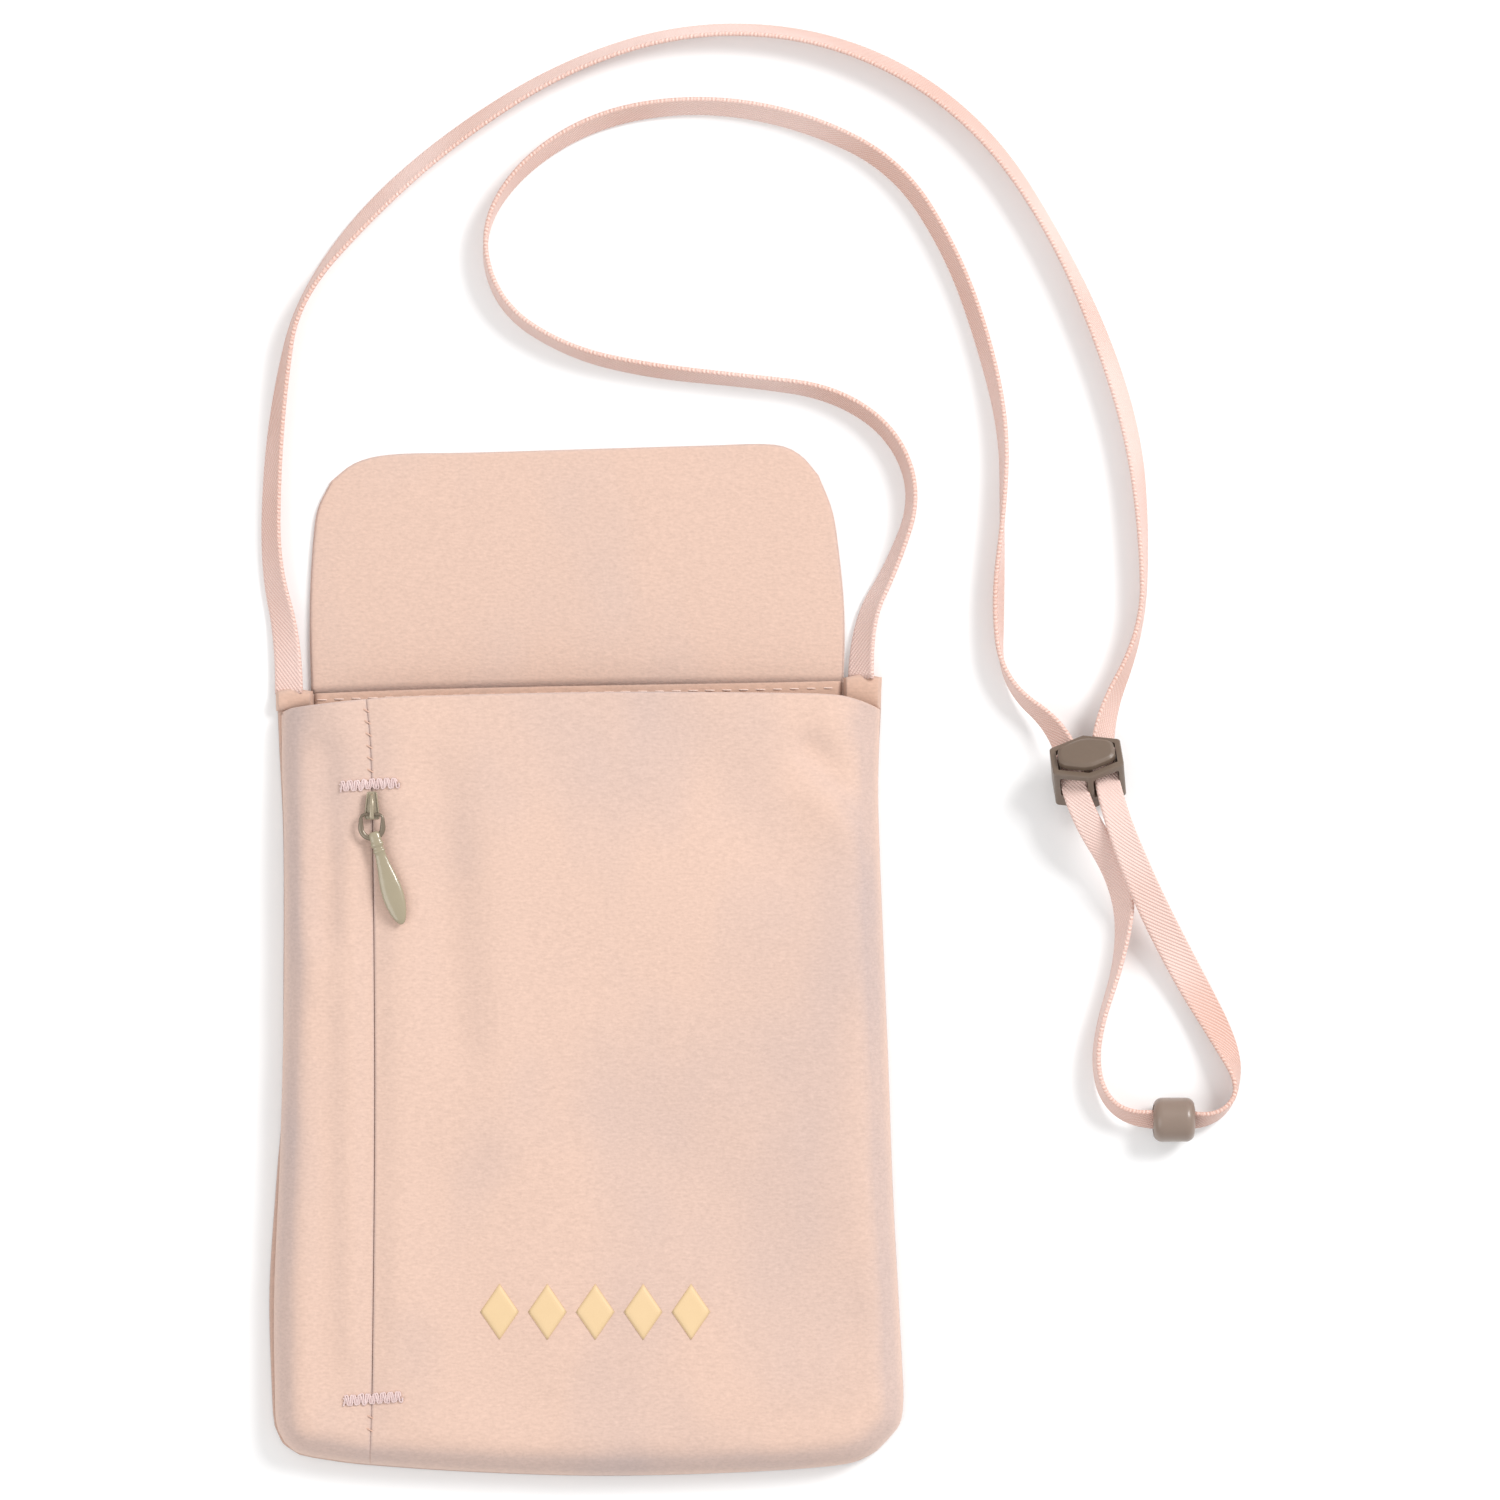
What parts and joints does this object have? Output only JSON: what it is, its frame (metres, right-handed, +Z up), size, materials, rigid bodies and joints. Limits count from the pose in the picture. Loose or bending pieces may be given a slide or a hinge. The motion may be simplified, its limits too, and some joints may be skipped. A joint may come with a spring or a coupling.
{
  "type": "neck pouch wallet",
  "caption": "Flat fabric neck pouch with an open fold-over flap, a zipped front pocket and an adjustable neck strap with a cord lock and an end bead",
  "frame": {"origin": "under the middle of the pouch and its open flap, on the surface the pouch lies on", "axes": "+X across the pouch to the wearer's left as it lies face up, +Y from the pouch towards the open flap, +Z up out of the front"},
  "size_m": [0.1683, 0.2499, 0.0129],
  "materials": {
    "shell_fabric": "matte woven peach fabric",
    "lining_fabric": "smooth peach lining",
    "facing_fabric": "folded twill facing",
    "zip_tape": "woven tape",
    "zip_coil": "nylon coil",
    "zip_metal": "khaki lacquer",
    "pull_plastic": "glossy olive beige",
    "thread": "pale sewing thread",
    "print": "raised pale gold print",
    "strap_webbing": "soft pink peach woven tape",
    "lock_plastic": "satin taupe plastic",
    "spring_steel": "plain spring wire"
  },
  "bodies": {
    "pouch": {"back_panel": "shell_fabric", "mouth_facing": "facing_fabric", "strap_tab_left": "facing_fabric", "strap_tab_right": "facing_fabric", "front_panel_main": "shell_fabric", "front_panel_side": "shell_fabric", "pocket_divider": "lining_fabric", "zip_tape_left": "zip_tape", "zip_tape_right": "zip_tape", "zip_coil_left": "zip_coil", "zip_coil_right": "zip_coil", "bar_tack_top": "thread", "bar_tack_bottom": "thread", "seam_stitches": "thread", "mouth_stitches": "thread", "emblem": "print", "neck_strap": "strap_webbing"},
    "flap": {"flap_outer": "shell_fabric", "flap_inner": "lining_fabric"},
    "slider": {"zip_slider": "zip_metal"},
    "link": {"zip_pull_link": "zip_metal"},
    "pull": {"zip_pull_tab": "pull_plastic"},
    "lock": {"lock_housing": "lock_plastic", "lock_spring": "spring_steel"},
    "button": {"lock_button": "lock_plastic"},
    "bead": {"strap_bead": "lock_plastic"}
  },
  "joints": [
    {"name": "flap_fold", "type": "hinge", "parent": "pouch", "child": "flap", "pos_m": [0, 0.0475, 0.006], "axis": [1, 0, 0], "range_deg": [0, 180]},
    {"name": "zip_slide", "type": "slide", "parent": "pouch", "child": "slider", "axis": [0, -1, 0], "range_m": [0, 0.0965]},
    {"name": "zip_link_swing", "type": "hinge", "parent": "slider", "child": "link", "pos_m": [-0.0369, 0.0249, 0.00987], "axis": [1, 0, 0], "range_deg": [-120, 0]},
    {"name": "zip_tab_swing", "type": "hinge", "parent": "link", "child": "pull", "pos_m": [-0.0363, 0.02089, 0.00987], "axis": [0.9542, 0.299, 0], "range_deg": [-60, 0]},
    {"name": "lock_slide", "type": "slide", "parent": "pouch", "child": "lock", "axis": [0.124, -0.8823, 0.4541], "range_m": [0, 0.0015]},
    {"name": "button_press", "type": "slide", "parent": "lock", "child": "button", "axis": [0.0818, -0.5821, -0.809], "range_m": [0, 0.0013], "stiffness_N_per_m": 300, "springref_m": -0.002, "deforming": ["lock_spring"]},
    {"name": "bead_slide", "type": "slide", "parent": "pouch", "child": "bead", "axis": [1, 0, 0], "range_m": [-0.002, 0.002]}
  ]
}
